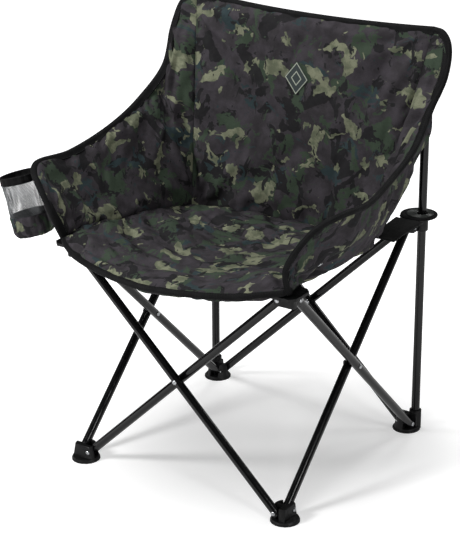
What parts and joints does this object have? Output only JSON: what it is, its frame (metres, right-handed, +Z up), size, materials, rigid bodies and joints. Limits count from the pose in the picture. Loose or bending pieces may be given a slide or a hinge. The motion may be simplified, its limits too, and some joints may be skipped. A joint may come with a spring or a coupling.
{
  "type": "folding fishing chair",
  "caption": "Folding bucket chair: padded camouflage seat with raised wings and a cup holder on a frame of crossed steel tubes with rear posts, closing to an upright bundle.",
  "frame": {"origin": "on the floor, at the middle of the box around the open chair", "axes": "+Z up, +Y towards the backrest, +X towards the sitter's left; the cup holder is on the -X side, at the sitter's right hand"},
  "size_m": [0.8028, 0.6744, 0.895],
  "materials": {
    "powder_coated_steel": "satin black powder coat",
    "black_plastic": "moulded, finely textured",
    "zinc_rivet": "zinc plated, lightly worn",
    "camouflage_fabric": "matt woven polyester, printed camouflage",
    "black_tape": "ribbed woven binding tape",
    "black_webbing": "woven webbing",
    "mesh_net": "open pale net",
    "badge_rubber": "embossed, matt"
  },
  "bodies": {
    "rear_left_corner": {"foot_rear_left": "black_plastic", "foot_pin_outer_rear_left": "zinc_rivet", "foot_pin_inner_rear_left": "zinc_rivet", "post_left": "powder_coated_steel", "back_panel": "camouflage_fabric", "wing_left": "camouflage_fabric", "binding_left": "black_tape", "binding_top": "black_tape", "pocket_left": "black_webbing", "cup_band": "black_tape", "cup_mesh": "mesh_net", "cup_pouch": "camouflage_fabric", "badge": "badge_rubber"},
    "rear_right_corner": {"foot_rear_right": "black_plastic", "foot_pin_outer_rear_right": "zinc_rivet", "foot_pin_inner_rear_right": "zinc_rivet", "post_right": "powder_coated_steel", "wing_right": "camouflage_fabric", "binding_right": "black_tape", "pocket_right": "black_webbing"},
    "front_left_foot": {"foot_front_left": "black_plastic", "foot_pin_outer_front_left": "zinc_rivet", "foot_pin_inner_front_left": "zinc_rivet"},
    "front_right_foot": {"foot_front_right": "black_plastic", "foot_pin_outer_front_right": "zinc_rivet", "foot_pin_inner_front_right": "zinc_rivet"},
    "rear_left_hub": {"hub_rear_left": "black_plastic", "hub_pin_outer_rear_left": "zinc_rivet", "hub_pin_inner_rear_left": "zinc_rivet", "hub_tab_left": "black_webbing", "strap_rear_left": "black_webbing"},
    "rear_right_hub": {"hub_rear_right": "black_plastic", "hub_pin_outer_rear_right": "zinc_rivet", "hub_pin_inner_rear_right": "zinc_rivet", "hub_tab_right": "black_webbing", "strap_rear_right": "black_webbing"},
    "front_left_hub": {"hub_front_left": "black_plastic", "hub_pin_outer_front_left": "zinc_rivet", "hub_pin_inner_front_left": "zinc_rivet", "button_front_left": "black_plastic"},
    "front_right_hub": {"hub_front_right": "black_plastic", "hub_pin_outer_front_right": "zinc_rivet", "hub_pin_inner_front_right": "zinc_rivet", "button_front_right": "black_plastic"},
    "back_outer_link": {"back_tube_outer": "powder_coated_steel"},
    "back_inner_link": {"back_tube_inner": "powder_coated_steel", "back_cross_rivet": "zinc_rivet"},
    "left_outer_link": {"left_tube_outer": "powder_coated_steel"},
    "left_inner_link": {"left_tube_inner": "powder_coated_steel", "left_cross_rivet": "zinc_rivet"},
    "right_outer_link": {"right_tube_outer": "powder_coated_steel"},
    "right_inner_link": {"right_tube_inner": "powder_coated_steel", "right_cross_rivet": "zinc_rivet"},
    "front_outer_link": {"front_tube_outer": "powder_coated_steel"},
    "front_inner_link": {"front_tube_inner": "powder_coated_steel", "front_cross_rivet": "zinc_rivet"},
    "seat_rear_part": {"seat_base_rear": "camouflage_fabric"},
    "seat_front_part": {"seat_base_front": "camouflage_fabric", "binding_front": "black_tape"}
  },
  "joints": [
    {"name": "fold", "type": "hinge", "parent": "rear_left_corner", "child": "back_outer_link", "pos_m": [-0.19275, 0.30325, 0.02], "axis": [0, -1, 0], "range_deg": [0, 42.7], "deforming": ["back_panel", "wing_left", "wing_right", "seat_base_rear", "seat_base_front", "binding_left", "binding_right", "binding_top", "binding_front", "strap_rear_left", "strap_rear_right", "cup_band", "cup_mesh", "cup_pouch", "badge", "pocket_left", "pocket_right"]},
    {"name": "back_cross", "type": "hinge", "parent": "back_outer_link", "child": "back_inner_link", "pos_m": [0.03925, 0.29375, 0.244], "axis": [0, 1, 0], "range_deg": [-1, 86.4]},
    {"name": "rear_right_foot_pivot", "type": "hinge", "parent": "back_inner_link", "child": "rear_right_corner", "pos_m": [0.27125, 0.28425, 0.02], "axis": [0, -1, 0], "range_deg": [-1, 43.7]},
    {"name": "rear_right_hub_pivot", "type": "hinge", "parent": "back_outer_link", "child": "rear_right_hub", "pos_m": [0.27125, 0.30325, 0.468], "axis": [0, 1, 0], "range_deg": [-1, 43.7]},
    {"name": "rear_left_hub_pivot", "type": "hinge", "parent": "back_inner_link", "child": "rear_left_hub", "pos_m": [-0.19275, 0.28425, 0.468], "axis": [0, -1, 0], "range_deg": [-1, 43.7]},
    {"name": "left_foot_pivot", "type": "hinge", "parent": "rear_left_corner", "child": "left_inner_link", "pos_m": [-0.20125, 0.27575, 0.02], "axis": [-1, 0, 0], "range_deg": [-1, 43.7]},
    {"name": "left_cross", "type": "hinge", "parent": "left_inner_link", "child": "left_outer_link", "pos_m": [-0.21075, 0.04375, 0.244], "axis": [1, 0, 0], "range_deg": [-1, 86.4]},
    {"name": "front_left_foot_pivot", "type": "hinge", "parent": "left_outer_link", "child": "front_left_foot", "pos_m": [-0.22025, -0.18825, 0.02], "axis": [-1, 0, 0], "range_deg": [-1, 43.7]},
    {"name": "front_left_hub_pivot", "type": "hinge", "parent": "left_inner_link", "child": "front_left_hub", "pos_m": [-0.20125, -0.18825, 0.468], "axis": [1, 0, 0], "range_deg": [-1, 43.7]},
    {"name": "right_foot_pivot", "type": "hinge", "parent": "rear_right_corner", "child": "right_outer_link", "pos_m": [0.29875, 0.27575, 0.02], "axis": [-1, 0, 0], "range_deg": [-1, 43.7]},
    {"name": "right_cross", "type": "hinge", "parent": "right_outer_link", "child": "right_inner_link", "pos_m": [0.28925, 0.04375, 0.244], "axis": [1, 0, 0], "range_deg": [-1, 86.4]},
    {"name": "front_right_foot_pivot", "type": "hinge", "parent": "right_inner_link", "child": "front_right_foot", "pos_m": [0.27975, -0.18825, 0.02], "axis": [-1, 0, 0], "range_deg": [-1, 43.7]},
    {"name": "front_right_hub_pivot", "type": "hinge", "parent": "right_outer_link", "child": "front_right_hub", "pos_m": [0.29875, -0.18825, 0.468], "axis": [1, 0, 0], "range_deg": [-1, 43.7]},
    {"name": "front_foot_pivot", "type": "hinge", "parent": "front_left_foot", "child": "front_inner_link", "pos_m": [-0.19275, -0.19675, 0.02], "axis": [0, -1, 0], "range_deg": [-1, 43.7]},
    {"name": "front_cross", "type": "hinge", "parent": "front_inner_link", "child": "front_outer_link", "pos_m": [0.03925, -0.20625, 0.244], "axis": [0, 1, 0], "range_deg": [-1, 86.4]},
    {"name": "seat_rear_seam", "type": "hinge", "parent": "rear_left_corner", "child": "seat_rear_part", "pos_m": [0.03925, 0.22575, 0.441], "axis": [1, 0, 0], "range_deg": [-1, 86.4]},
    {"name": "seat_crease", "type": "hinge", "parent": "seat_rear_part", "child": "seat_front_part", "pos_m": [0.03925, 0.08115, 0.4405], "axis": [-1, 0, 0], "range_deg": [-1, 171.8]}
  ],
  "couplings": [
    {"joint": "back_cross", "follows": "fold", "ratio": 2},
    {"joint": "rear_right_foot_pivot", "follows": "fold", "ratio": 1},
    {"joint": "rear_right_hub_pivot", "follows": "fold", "ratio": 1},
    {"joint": "rear_left_hub_pivot", "follows": "fold", "ratio": 1},
    {"joint": "left_foot_pivot", "follows": "fold", "ratio": 1},
    {"joint": "left_cross", "follows": "fold", "ratio": 2},
    {"joint": "front_left_foot_pivot", "follows": "fold", "ratio": 1},
    {"joint": "front_left_hub_pivot", "follows": "fold", "ratio": 1},
    {"joint": "right_foot_pivot", "follows": "fold", "ratio": 1},
    {"joint": "right_cross", "follows": "fold", "ratio": 2},
    {"joint": "front_right_foot_pivot", "follows": "fold", "ratio": 1},
    {"joint": "front_right_hub_pivot", "follows": "fold", "ratio": 1},
    {"joint": "front_foot_pivot", "follows": "fold", "ratio": 1},
    {"joint": "front_cross", "follows": "fold", "ratio": 2},
    {"joint": "seat_rear_seam", "follows": "fold", "ratio": 2},
    {"joint": "seat_crease", "follows": "fold", "ratio": 4}
  ]
}
